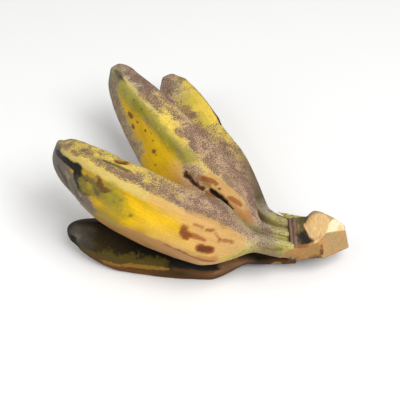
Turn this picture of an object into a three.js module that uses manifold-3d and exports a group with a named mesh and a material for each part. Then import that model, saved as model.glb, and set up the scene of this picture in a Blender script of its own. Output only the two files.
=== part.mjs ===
// A hand of four short, thick cooking bananas with its cut crown, lying down on a flat surface.
// Millimetres, +Z up. Each fruit is one piece with its stalk; the stalks sit in the crown side by side.
// X runs from the fruit tips (-) to the cut end of the crown (+); Y runs along the row of stalks.

import * as THREE from 'three';
import { mergeVertices } from 'three/addons/utils/BufferGeometryUtils.js';
import Module from 'manifold-3d';

// ---------------------------------------------------------------- driving dimensions

const TOUCH_GAP = 0.3; // air left between two pieces that press on each other
const SOCKET_DEPTH = 6; // how far each stalk reaches into the crown
const FLAT_DEPTH = 1.0; // how much of the skin is pressed flat where the hand lies on its surface
const FIRST_BEND = 9; // stalk length over which it turns out of the row and onto its own course

const FACETS_AROUND = 24; // flat strips around a fruit
const RINGS_STALK = 7; // rings along a stalk
const RINGS_FRUIT = 22; // rings along a fruit
const LUMP_FACETS_AROUND = 26;
const LUMP_FACETS_DOWN = 16;
const RING_CROWDING = 1.15; // above 1, the rings also close up towards the stalk

// One fruit: stalk and fruit sizes in mm, and the course that its middle line follows.
// A heading is [turn from +X towards +Y, rise above the horizontal], in degrees.
// shoulder: length over which the stalk swells to full thickness; point: length of the narrowing end.
// ridge angles are measured around the middle line, from the top of the section, in degrees;
// neckTwist and tipTwist turn them along the fruit.
const FRONT = {
  stalkLength: 39.1, stalkRadius: 5.9, fruitLength: 147.8, fruitRadius: 21,
  shoulder: 31.6, point: 63.3, endRound: 1.44, endBlunt: 1.62,
  headings: [[196.9, 34.4], [178.5, 15.3], [156.3, 17.5], [104.1, -22.2]],
  faces: [6, 60, 120, 185, 250, 308], neckTwist: -30, tipTwist: -10,
};
const MIDDLE = {
  stalkLength: 35.2, stalkRadius: 5.5, fruitLength: 154, fruitRadius: 19.2,
  shoulder: 28, point: 100, endRound: 1.28, endBlunt: 2.39,
  headings: [[162.8, -7.7], [135.6, 8.8], [128, 24.2], [117, -10.7]],
  faces: [4, 70, 136, 206, 308], neckTwist: 6, tipTwist: -20,
};
const BACK = {
  stalkLength: 31.5, stalkRadius: 5, fruitLength: 147.4, fruitRadius: 14.4,
  shoulder: 67.5, point: 44.6, endRound: 1.66, endBlunt: 2.35,
  headings: [[145.2, -14], [110.5, -11], [120.2, 6.6], [112.5, 8.3]],
  faces: [4, 76, 148, 220, 290], neckTwist: 0, tipTwist: -14,
};
const LOWER = {
  stalkLength: 38.9, stalkRadius: 5.6, fruitLength: 109.8, fruitRadius: 16,
  shoulder: 25.7, point: 36, endRound: 1.15, endBlunt: 2.12,
  headings: [[187.7, 5.1], [178.5, 1.24], [171.8, 0.07], [162.5, 13.8]],
  faces: [34, 106, 178, 250, 322], neckTwist: 0, tipTwist: 0,
};
const SHOULDER_LEAD = 8; // the swelling starts this far down the stalk
const SWELL_POWER = 1.5; // higher makes the stalk stay slim for longer
const NECK_SHARE = 0.4; // share of the fruit, from the stalk, over which the neck twist fades out
const RIDGE_SHARPNESS = 13; // higher is crisper
const RIDGE_SCALE = 1.045; // brings the ridged section back to the fruit's mean radius

// The crown: the pad that the stalks grow from, and the block of bunch stem left on it by the knife.
const ROOT_X = 61; // where the stalk ends stop, in the pad
const ROW_MIDDLE_Y = -59.5; // across the middle of the upper row
const UPPER_ROW_Z = 25.8; // height of the upper row of stalks
const ROW_DROP = 13.4; // the lower row lies this far under the upper one
const ROW_PRESS = 0.4; // neighbouring stalks are pressed together by this much
const PAD_LENGTH = 25; // along X
const PAD_AHEAD = 12.2; // from the mouths of the stalk sockets to the middle of the pad
const PAD_RIM = 2.2; // pad flesh outside the row of stalks
const PAD_HEIGHT = 27;
const BLOCK_LENGTH = 34.4; // along X, before the knife
const BLOCK_WIDTH = 42.3;
const BLOCK_HEIGHT = 40.6;
const BLOCK_OFFSET = [12.6, 2.1, 4.4]; // from the middle of the pad to the middle of the block
const KNIFE_REACH = 200; // a knife cut takes away everything on its outer side
const CROWN_CLEARANCE = 3.3; // the crown stays this far above the surface that the hand lies on

// Knife cuts through the block: the direction each one faces, and its distance from the block's middle.
const BLOCK_CUTS = [
  { faces: [0.48, -0.87, 0.12], distance: 9.5 }, // front cut
  { faces: [0.51, -0.54, 0.67], distance: 15.7 }, // bright top cut
  { faces: [-0.61, -0.22, 0.76], distance: 16.8 }, // slanting cut towards the stalks
  { faces: [0.97, 0.04, 0.23], distance: 12.3 }, // cut end
  { faces: [0.51, 0.67, 0.54], distance: 11.6 }, // far corner of the cut end
  { faces: [0.36, -0.64, -0.68], distance: 9.8 }, // undercut
];
// The long cut that slices the underside of the pad, measured from the middle of the pad.
const TONGUE_CUT = { faces: [0.05, -0.80, -0.60], distance: 8.8 };

// The stub of a fifth stalk, torn off beside the back fruit.
const STUB_LENGTH = 15;
const STUB_WIDTH = 8.5;
const STUB_THICKNESS = 4.4;
const STUB_TURN = 10; // degrees that it leans away from the row
const STUB_RISE = 12;
const STUB_ROOT = [4, 2, 2]; // its root, from the root of the back stalk
const STUB_FACETS = 14;

// ---------------------------------------------------------------- finishes

const finish = (color, roughness) => new THREE.MeshStandardMaterial({ color, roughness, metalness: 0 });
const RIPE_SKIN = finish(0xd9b23c, 0.55);
const MOTTLED_SKIN = finish(0xb8a044, 0.6);
const BROWNED_SKIN = finish(0xa08a4c, 0.62);
const DARK_SKIN = finish(0x5a4a2a, 0.65);
const CUT_FLESH = finish(0xdcc192, 0.7);
const GREEN_SKIN = finish(0x8c8a42, 0.65);

// ---------------------------------------------------------------- solids

const wasm = await Module();
wasm.setup();

// Shared vertices are merged and the collapsed triangles at the poles are left out.
function toSolid(geometry) {
  const bare = geometry.clone();
  bare.deleteAttribute('normal');
  bare.deleteAttribute('uv');
  const merged = mergeVertices(bare, 1e-5);
  const corners = merged.index.array;
  const triVerts = [];
  for (let i = 0; i < corners.length; i += 3) {
    const [a, b, c] = [corners[i], corners[i + 1], corners[i + 2]];
    if (a !== b && b !== c && c !== a) {
      triVerts.push(a, b, c);
    }
  }
  const vertProperties = new Float32Array(merged.attributes.position.array);
  return new wasm.Manifold(new wasm.Mesh({ numProp: 3, vertProperties, triVerts: new Uint32Array(triVerts) }));
}

function toGeometry(solid) {
  const mesh = solid.getMesh();
  const geometry = new THREE.BufferGeometry();
  geometry.setAttribute('position', new THREE.BufferAttribute(new Float32Array(mesh.vertProperties), 3));
  geometry.setIndex(new THREE.BufferAttribute(new Uint32Array(mesh.triVerts), 1));
  return geometry;
}

function toMesh(name, solid, material) {
  const geometry = toGeometry(solid).toNonIndexed();
  geometry.computeVertexNormals();
  const mesh = new THREE.Mesh(geometry, material);
  mesh.name = name;
  return mesh;
}

// ---------------------------------------------------------------- fruits

const radians = THREE.MathUtils.degToRad;
const clamp01 = (value) => THREE.MathUtils.clamp(value, 0, 1);

// The upper row of stalks runs along Y, pressed side by side; the lower stalk is under its middle.
const rowReach = FRONT.stalkRadius + 2 * MIDDLE.stalkRadius + BACK.stalkRadius - 2 * ROW_PRESS;
const rowHalfWidth = (rowReach + FRONT.stalkRadius + BACK.stalkRadius) / 2;
const rowStart = ROW_MIDDLE_Y - rowReach / 2;
const frontY = rowStart;
const middleY = frontY + FRONT.stalkRadius + MIDDLE.stalkRadius - ROW_PRESS;
const backY = middleY + MIDDLE.stalkRadius + BACK.stalkRadius - ROW_PRESS;
const lowerZ = UPPER_ROW_Z - ROW_DROP;
const ROOTS = {
  front: new THREE.Vector3(ROOT_X, frontY, UPPER_ROW_Z),
  middle: new THREE.Vector3(ROOT_X, middleY, UPPER_ROW_Z),
  back: new THREE.Vector3(ROOT_X, backY, UPPER_ROW_Z),
  lower: new THREE.Vector3(ROOT_X, ROW_MIDDLE_Y, lowerZ),
};

// Heading at a distance along the fruit: out of the crown along -X, then through the listed headings.
function headingAt(fruit, distance) {
  const { stalkLength, fruitLength, headings } = fruit;
  const stops = [0, FIRST_BEND, stalkLength, stalkLength + fruitLength / 2, stalkLength + fruitLength];
  const values = [[180, 0], ...headings];
  let k = 0;
  while (k < stops.length - 2 && distance > stops[k + 1]) {
    k += 1;
  }
  const share = clamp01((distance - stops[k]) / (stops[k + 1] - stops[k]));
  const turn = THREE.MathUtils.lerp(values[k][0], values[k + 1][0], share);
  const rise = THREE.MathUtils.lerp(values[k][1], values[k + 1][1], share);
  return [radians(turn), radians(rise)];
}

function directionAt(fruit, distance) {
  const [turn, rise] = headingAt(fruit, distance);
  return new THREE.Vector3(Math.cos(rise) * Math.cos(turn), Math.cos(rise) * Math.sin(turn), Math.sin(rise));
}

// Points of the middle line, one every COURSE_STEP.
const COURSE_STEP = 1;
function middleLine(fruit, root) {
  const length = fruit.stalkLength + fruit.fruitLength;
  const points = [root.clone()];
  for (let distance = 0; distance < length + COURSE_STEP; distance += COURSE_STEP) {
    const step = directionAt(fruit, distance + COURSE_STEP / 2).multiplyScalar(COURSE_STEP);
    points.push(points.at(-1).clone().add(step));
  }
  return points;
}

function pointOn(points, distance) {
  const at = Math.min(distance / COURSE_STEP, points.length - 1.001);
  const k = Math.floor(at);
  return points[k].clone().lerp(points[k + 1], at - k);
}

// Mean radius at a distance: a slim stalk that swells at the shoulder and closes to a blunt point.
function radiusAt(fruit, distance) {
  const { stalkLength, stalkRadius, fruitLength, fruitRadius, shoulder, point, endRound, endBlunt } = fruit;
  const past = distance - stalkLength + SHOULDER_LEAD;
  const swell = Math.sin(clamp01(past / shoulder) * Math.PI / 2) ** SWELL_POWER;
  const into = clamp01((distance - stalkLength - fruitLength + point) / point);
  return (stalkRadius + (fruitRadius - stalkRadius) * swell) * (1 - into ** endRound) ** (1 / endBlunt);
}

// Ridged section: the flat faces meet in soft ridges.
function ridgeFactor(fruit, angle, distance) {
  const along = (distance - fruit.stalkLength) / fruit.fruitLength;
  const neck = fruit.neckTwist * clamp01(1 - along / NECK_SHARE) ** 2;
  const tip = fruit.tipTwist * clamp01((along - NECK_SHARE) / (1 - NECK_SHARE));
  let sum = 0;
  for (const face of fruit.faces) {
    const facing = Math.max(0, Math.cos(angle - radians(face + neck + tip)));
    sum += facing ** RIDGE_SHARPNESS;
  }
  return sum ** (-1 / RIDGE_SHARPNESS) / RIDGE_SCALE;
}

// Distances of the rings: even along the stalk, and closer together towards the blunt end.
function ringDistances(fruit) {
  const distances = [];
  for (let i = 0; i < RINGS_STALK; i += 1) {
    distances.push(fruit.stalkLength * i / RINGS_STALK);
  }
  for (let i = 0; i < RINGS_FRUIT; i += 1) {
    const share = Math.sin(Math.PI / 2 * i / RINGS_FRUIT) ** RING_CROWDING;
    distances.push(fruit.stalkLength + fruit.fruitLength * share);
  }
  return distances;
}

// A fruit is a straight lathe of its radii, bent along its middle line; grow makes it larger all round.
function fruitGeometry(fruit, root, grow) {
  const length = fruit.stalkLength + fruit.fruitLength;
  const profile = [new THREE.Vector2(0, -grow)];
  for (const distance of ringDistances(fruit)) {
    profile.push(new THREE.Vector2(1, distance === 0 ? -grow : distance));
  }
  profile.push(new THREE.Vector2(0, length + grow));
  const geometry = new THREE.LatheGeometry(profile, FACETS_AROUND);
  const places = geometry.attributes.position;
  const course = middleLine(fruit, root);
  for (let i = 0; i < places.count; i += 1) {
    const distance = places.getY(i);
    const onAxis = Math.hypot(places.getX(i), places.getZ(i)) < 0.5;
    const angle = Math.atan2(places.getX(i), places.getZ(i));
    const along = directionAt(fruit, distance);
    const up = new THREE.Vector3(0, 0, 1).addScaledVector(along, -along.z).normalize();
    const side = new THREE.Vector3().crossVectors(along, up);
    const radius = onAxis ? 0 : radiusAt(fruit, distance) * ridgeFactor(fruit, angle, distance) + grow;
    const place = pointOn(course, Math.max(0, distance));
    place.addScaledVector(along, Math.min(0, distance) + Math.max(0, distance - length));
    place.addScaledVector(up, radius * Math.cos(angle));
    place.addScaledVector(side, radius * Math.sin(angle));
    places.setXYZ(i, place.x, place.y, place.z);
  }
  return geometry;
}

const FRUITS = [
  { name: 'finger_lower', fruit: LOWER, root: ROOTS.lower, material: DARK_SKIN },
  { name: 'finger_front', fruit: FRONT, root: ROOTS.front, material: RIPE_SKIN },
  { name: 'finger_middle', fruit: MIDDLE, root: ROOTS.middle, material: MOTTLED_SKIN },
  { name: 'finger_back', fruit: BACK, root: ROOTS.back, material: BROWNED_SKIN },
];

// ---------------------------------------------------------------- crown and torn stub

const padMiddle = new THREE.Vector3(
  ROOT_X - SOCKET_DEPTH + PAD_AHEAD, ROW_MIDDLE_Y, UPPER_ROW_Z - ROW_DROP / 2);
const blockMiddle = padMiddle.clone().add(new THREE.Vector3(...BLOCK_OFFSET));

function lumpGeometry(middle, length, width, height) {
  const lump = new THREE.SphereGeometry(1, LUMP_FACETS_AROUND, LUMP_FACETS_DOWN);
  lump.scale(length / 2, width / 2, height / 2);
  lump.translate(middle.x, middle.y, middle.z);
  return lump;
}

// Everything on the outer side of a knife cut, as a box whose inner face is the cut.
function knifeGeometry(cut, middle) {
  const outward = new THREE.Vector3(...cut.faces).normalize();
  const box = new THREE.BoxGeometry(KNIFE_REACH, KNIFE_REACH, KNIFE_REACH);
  box.translate(0, 0, KNIFE_REACH / 2 + cut.distance);
  box.applyQuaternion(new THREE.Quaternion().setFromUnitVectors(new THREE.Vector3(0, 0, 1), outward));
  box.translate(middle.x, middle.y, middle.z);
  return box;
}

function cutLump(lump, cuts, middle) {
  return cuts.reduce((body, cut) => body.subtract(toSolid(knifeGeometry(cut, middle))), toSolid(lump));
}

function crownGeometry() {
  const pad = lumpGeometry(padMiddle, PAD_LENGTH, 2 * (rowHalfWidth + PAD_RIM), PAD_HEIGHT);
  const block = lumpGeometry(blockMiddle, BLOCK_LENGTH, BLOCK_WIDTH, BLOCK_HEIGHT);
  return toGeometry(cutLump(pad, [TONGUE_CUT], padMiddle).add(cutLump(block, BLOCK_CUTS, blockMiddle)));
}

function stubGeometry(grow) {
  const stub = new THREE.ConeGeometry(STUB_WIDTH / 2, STUB_LENGTH, STUB_FACETS);
  stub.rotateZ(Math.PI / 2);
  stub.scale(1, 1, STUB_THICKNESS / STUB_WIDTH);
  stub.scale((STUB_LENGTH + 2 * grow) / STUB_LENGTH, 1 + 2 * grow / STUB_WIDTH, 1 + 2 * grow / STUB_THICKNESS);
  stub.translate(-STUB_LENGTH / 2, 0, 0);
  stub.rotateY(radians(STUB_RISE));
  stub.rotateZ(-radians(STUB_TURN));
  stub.translate(ROOT_X + STUB_ROOT[0], backY + STUB_ROOT[1], UPPER_ROW_Z + STUB_ROOT[2]);
  return stub;
}

// ---------------------------------------------------------------- laid down

// The hand rests on its lower fruit, along most of its belly, and on the shoulder of its back fruit.
// A turn brings these down to one level, with the crown its clearance above them.
function lowestPoint(geometry) {
  const places = geometry.attributes.position;
  const lowest = new THREE.Vector3(0, 0, Infinity);
  for (let i = 0; i < places.count; i += 1) {
    if (places.getZ(i) < lowest.z) {
      lowest.fromBufferAttribute(places, i);
    }
  }
  return lowest;
}

const pieces = {};
for (const { name, fruit, root } of FRUITS) {
  pieces[name] = fruitGeometry(fruit, root, 0);
  pieces[`${name}_grown`] = fruitGeometry(fruit, root, TOUCH_GAP);
}
pieces.crown = crownGeometry();
pieces.stub = stubGeometry(0);
pieces.stub_grown = stubGeometry(TOUCH_GAP);

const LEVEL_PASSES = 4;
for (let pass = 0; pass < LEVEL_PASSES; pass += 1) {
  const feet = [pieces.finger_lower, pieces.finger_back, pieces.crown].map(lowestPoint);
  feet[2].z -= CROWN_CLEARANCE + FLAT_DEPTH;
  const normal = feet[1].clone().sub(feet[0]).cross(feet[2].clone().sub(feet[0])).normalize();
  if (normal.z < 0) {
    normal.negate();
  }
  const turn = new THREE.Quaternion().setFromUnitVectors(normal, new THREE.Vector3(0, 0, 1));
  for (const piece of Object.values(pieces)) {
    piece.applyQuaternion(turn);
  }
}

const FLOOR_REACH = 1000;
const floorZ = lowestPoint(pieces.finger_lower).z + FLAT_DEPTH;
const underFloor = new THREE.BoxGeometry(FLOOR_REACH, FLOOR_REACH, FLOOR_REACH);
underFloor.translate(0, 0, floorZ - FLOOR_REACH / 2);
const floor = toSolid(underFloor);

// ---------------------------------------------------------------- assembly

const hand = new THREE.Group();
const grown = FRUITS.map(({ name }) => toSolid(pieces[`${name}_grown`]));
const stubGrown = toSolid(pieces.stub_grown);

FRUITS.forEach(({ name, material }, i) => {
  let solid = toSolid(pieces[name]).subtract(floor);
  for (const neighbour of grown.slice(0, i)) {
    solid = solid.subtract(neighbour);
  }
  hand.add(toMesh(name, solid, material));
});

let crown = toSolid(pieces.crown).subtract(stubGrown);
for (const neighbour of grown) {
  crown = crown.subtract(neighbour);
}
hand.add(toMesh('crown', crown, CUT_FLESH));

let stub = toSolid(pieces.stub);
for (const neighbour of grown) {
  stub = stub.subtract(neighbour);
}
hand.add(toMesh('torn_stub', stub, GREEN_SKIN));

// The origin is under the middle of the hand, on the surface that it lies on.
const box = new THREE.Box3().setFromObject(hand);
const middle = box.getCenter(new THREE.Vector3());
hand.position.set(-middle.x, -middle.y, -floorZ);

export default hand;
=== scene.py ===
import math

import bmesh
import bpy
import numpy as np
from mathutils import Matrix, Quaternion, Vector, noise


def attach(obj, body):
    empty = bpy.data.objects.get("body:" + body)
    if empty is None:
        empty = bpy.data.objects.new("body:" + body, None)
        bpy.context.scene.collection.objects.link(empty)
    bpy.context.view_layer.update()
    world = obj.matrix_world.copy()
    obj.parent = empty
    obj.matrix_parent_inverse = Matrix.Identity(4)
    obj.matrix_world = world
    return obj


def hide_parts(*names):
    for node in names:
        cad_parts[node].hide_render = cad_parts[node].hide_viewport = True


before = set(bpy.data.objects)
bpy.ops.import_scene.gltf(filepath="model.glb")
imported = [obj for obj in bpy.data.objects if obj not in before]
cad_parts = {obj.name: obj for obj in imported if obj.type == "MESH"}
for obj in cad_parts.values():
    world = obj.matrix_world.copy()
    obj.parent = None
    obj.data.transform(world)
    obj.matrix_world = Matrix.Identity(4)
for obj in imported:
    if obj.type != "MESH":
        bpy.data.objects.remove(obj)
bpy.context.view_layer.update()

# ---------------------------------------------------------------- camera
# Looks down on the lying hand from in front, from about three quarters of a metre away.

LOOK_AT = Vector((-0.0010, -0.0037, 0.0))
LOOK_TURN = math.radians(-0.47)
LOOK_DOWN = math.radians(45.0)
LOOK_ROLL = math.radians(0.3)
LOOK_DISTANCE = 0.75
LENS_MM = 98.5

away = Vector((math.sin(LOOK_TURN) * math.cos(LOOK_DOWN), -math.cos(LOOK_TURN) * math.cos(LOOK_DOWN),
               math.sin(LOOK_DOWN)))
level = Vector((math.cos(LOOK_TURN), math.sin(LOOK_TURN), 0.0))
right = (Quaternion(away, LOOK_ROLL) @ level).normalized()
upright = away.cross(right)
eye = LOOK_AT + away * LOOK_DISTANCE
camera = bpy.data.objects.new("camera", bpy.data.cameras.new("camera"))
camera.data.lens = LENS_MM
camera.data.clip_start = 0.01
camera.matrix_world = Matrix((
    (right.x, upright.x, away.x, eye.x),
    (right.y, upright.y, away.y, eye.y),
    (right.z, upright.z, away.z, eye.z),
    (0.0, 0.0, 0.0, 1.0)))
bpy.context.collection.objects.link(camera)
bpy.context.scene.camera = camera
bpy.context.scene.view_settings.view_transform = "Standard"

# ---------------------------------------------------------------- floor and light
# A plain pale floor, and soft white light: a wide lamp over the front, a weaker one from the left,
# and an even glow from all round.

FLOOR_SIZE = 6.0
FLOOR_DROP = 0.0001
GLOW_STRENGTH = 0.38
LAMP_SIDE = 0.8

floor_mesh = bmesh.new()
bmesh.ops.create_grid(floor_mesh, x_segments=1, y_segments=1, size=FLOOR_SIZE / 2,
                      matrix=Matrix.Translation((0.0, 0.0, -FLOOR_DROP)))
floor = bpy.data.objects.new("floor", bpy.data.meshes.new("floor"))
floor_mesh.to_mesh(floor.data)
floor_mesh.free()
bpy.context.collection.objects.link(floor)
paper = bpy.data.materials.new("pale_floor")
paper.use_nodes = True
paper.node_tree.nodes["Principled BSDF"].inputs["Base Color"].default_value = (0.93, 0.93, 0.92, 1.0)
paper.node_tree.nodes["Principled BSDF"].inputs["Roughness"].default_value = 0.9
paper.node_tree.nodes["Principled BSDF"].inputs["Specular IOR Level"].default_value = 0.1
floor.data.materials.append(paper)

glow = bpy.data.worlds.new("soft_glow")
glow.use_nodes = True
glow.node_tree.nodes["Background"].inputs["Color"].default_value = (1.0, 1.0, 1.0, 1.0)
glow.node_tree.nodes["Background"].inputs["Strength"].default_value = GLOW_STRENGTH
bpy.context.scene.world = glow


def soft_lamp(name, place, watts):
    """A square lamp at the place, in metres, that shines at the hand."""
    lamp = bpy.data.objects.new(name, bpy.data.lights.new(name, "AREA"))
    lamp.data.shape = "SQUARE"
    lamp.data.size = LAMP_SIDE
    lamp.data.energy = watts
    lamp.location = place
    lamp.rotation_euler = Vector(place).to_track_quat("Z", "Y").to_euler()
    bpy.context.collection.objects.link(lamp)


soft_lamp("key_lamp", (0.45, -0.70, 1.20), 18.0)
soft_lamp("side_lamp", (-0.9, -0.5, 0.8), 4.0)

# ---------------------------------------------------------------- front fruit
# The thickest fruit, grown in one piece with its stalk: a ridged, gently bent body with a blunt, dark tip.
# Its waxy skin is golden on the face turned to the front and freckled on top, with an insect hole and
# bruises.

MM = 0.001
# How the row of stalks is turned and moved to where the hand lies.
LYING_TURN = Quaternion((0.9999969, -0.0022889, 0.0009575, 0.0))
LYING_SHIFT = Vector((-0.6911, -4.6688, -0.6195)) * MM
LYING = Matrix.Translation(LYING_SHIFT) @ LYING_TURN.to_matrix().to_4x4()

# Sizes are in mm from here on, and shares run along a fruit's body from its stalk to its tip.
FIRST_BEND = 9.0  # from the root to the first bend of a stalk
SHOULDER_LEAD = 8.0  # the stalk begins to swell this far before the body
SWELL_POWER = 1.5
NECK_SHARE = 0.4  # the neck's twist fades out by here
RIDGE_SHARPNESS = 13.0
RIDGE_SCALE = 1.045  # brings the ridged section back to the mean radius
FLANK_SHARE = 0.9  # reach of the flat faces, as a share of the body's radius
SKIN_AROUND = 168
SKIN_ALONG = 290
RING_CROWDING = 1.1  # over 1 crowds the mesh a little at the root
NOISE_GAIN = 1.6  # brings the noise to about -1 to 1
COARSE_GRAIN = 16.0
MEDIUM_GRAIN = 5.0
FINE_GRAIN = 1.7
COARSE_DENTS = 0.45
MEDIUM_DENTS = 0.12
CLOSED_RADIUS = 4.0  # under this radius, dents and reliefs fade out towards the tip
BLOTCH = np.array([0.27, 0.165, 0.115])
BLOTCH_COVER = 0.75
SLICE_FRECKLES = 0.02


def course_direction(fruit, distance):
    """The way that the fruit's middle line points at each distance from its root."""
    stalk, body = fruit["stalk_length"], fruit["body_length"]
    stops = [0.0, FIRST_BEND, stalk, stalk + body / 2, stalk + body]
    turns, rises = zip((180.0, 0.0), *fruit["headings"])
    turn = np.radians(np.interp(distance, stops, turns))
    rise = np.radians(np.interp(distance, stops, rises))
    return np.stack([np.cos(rise) * np.cos(turn), np.cos(rise) * np.sin(turn), np.sin(rise)], axis=-1)


def mean_radius(fruit, distance):
    """A slim stalk that swells at the shoulder, a full body, and a blunt closing end."""
    past = distance - fruit["stalk_length"] + SHOULDER_LEAD
    swell = np.sin(np.clip(past / fruit["shoulder"], 0, 1) * math.pi / 2) ** SWELL_POWER
    length = fruit["stalk_length"] + fruit["body_length"]
    into = np.clip((distance - length + fruit["point"]) / fruit["point"], 0, 1)
    full = fruit["stalk_radius"] + (fruit["body_radius"] - fruit["stalk_radius"]) * swell
    return full * (1 - into ** fruit["end_round"]) ** (1 / fruit["end_blunt"])


def ridge_factor(fruit, angle, share):
    """Flat faces that meet in soft ridges; the ridges turn a little along the fruit."""
    neck = fruit["neck_twist"] * np.clip(1 - share / NECK_SHARE, 0, 1) ** 2
    tip = fruit["tip_twist"] * np.clip((share - NECK_SHARE) / (1 - NECK_SHARE), 0, 1)
    total = np.zeros_like(angle)
    for face in fruit["faces"]:
        facing = np.maximum(0, np.cos(np.radians(angle - face - neck - tip)))
        total += facing ** RIDGE_SHARPNESS
    return total ** (-1 / RIDGE_SHARPNESS) / RIDGE_SCALE


def speckle_field(places, grain, seed):
    """Smooth noise from about -1 to 1 with features of the grain's size; places and grain in mm."""
    shift = Vector((17.3 * seed, 5.1 * seed, 9.7 * seed))
    return np.array([noise.noise(Vector(place) / grain + shift) for place in places]) * NOISE_GAIN


def mark_distance(fruit, share, angle, points):
    """Distance over the skin, in mm, from every skin point to a line of (share, angle) points."""
    body, radius = fruit["body_length"], fruit["body_radius"] * FLANK_SHARE
    nearest = np.full(share.shape, 1e6)
    ends = points if len(points) > 1 else points * 2
    for (share_a, angle_a), (share_b, angle_b) in zip(ends, ends[1:]):
        east = (share - share_a) * body
        north = np.radians((angle - angle_a + 180) % 360 - 180) * radius
        run_east = (share_b - share_a) * body
        run_north = math.radians((angle_b - angle_a + 180) % 360 - 180) * radius
        run = max(run_east ** 2 + run_north ** 2, 1e-9)
        along = np.clip((east * run_east + north * run_north) / run, 0, 1)
        nearest = np.minimum(nearest, np.hypot(east - along * run_east, north - along * run_north))
    return nearest


def linear(colour):
    """A 0xRRGGBB paint colour as linear red, green and blue."""
    parts = np.array([(colour >> 16) & 255, (colour >> 8) & 255, colour & 255]) / 255
    return np.where(parts <= 0.04045, parts / 12.92, ((parts + 0.055) / 1.055) ** 2.4)


def ground_coat(coats, table, share, angle):
    """Colour and freckle density at every skin point, blended between the rows of a fruit's colour table."""
    rows = []
    for _, around in table:
        angles = [a for a, _ in around]
        values = np.array([[*linear(coats[name][0]), coats[name][1]] for _, name in around])
        angles = [angles[-1] - 360, *angles, angles[0] + 360]
        values = np.vstack([values[-1:], values, values[:1]])
        turn = (angle - angles[1]) % 360 + angles[1]
        rows.append(np.stack([np.interp(turn, angles, values[:, k]) for k in range(4)], axis=1))
    stations = [station for station, _ in table]
    spot = np.interp(share, stations, np.arange(len(stations)))
    lower = np.clip(np.floor(spot).astype(int), 0, len(stations) - 2)
    blend = (spot - lower)[:, None]
    stack = np.stack(rows)
    index = np.arange(len(share))
    return stack[lower, index] * (1 - blend) + stack[lower + 1, index] * blend


def soft_step(value, low, high):
    """0 at low, 1 at high and eased between them; low may be the larger."""
    share = np.clip((value - low) / (high - low), 0, 1)
    return share * share * (3 - 2 * share)


# The long knife stroke that sliced the front of the pad and of the front stalk: stations along x, where it
# passes in y at its level, and how far back it leans for each mm under that level.
KNIFE_X = [43.0, 47.0, 51.0, 55.0, 60.0, 68.0, 74.0]
KNIFE_Y = [-78.8, -76.0, -73.9, -72.6, -71.7, -70.8, -70.2]
KNIFE_LEAN = [0.75, 0.7, 0.55, 0.3, 0.05, 0.0, 0.0]
KNIFE_LEVEL = 26.0


def knife_depth(places):
    """How far each place, in mm, sticks out in front of the knife stroke."""
    lean = np.interp(places[:, 0], KNIFE_X, KNIFE_LEAN) * (KNIFE_LEVEL - places[:, 2])
    depth = np.interp(places[:, 0], KNIFE_X, KNIFE_Y) + lean - places[:, 1]
    depth[places[:, 0] < KNIFE_X[0]] = -1.0
    return depth


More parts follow.
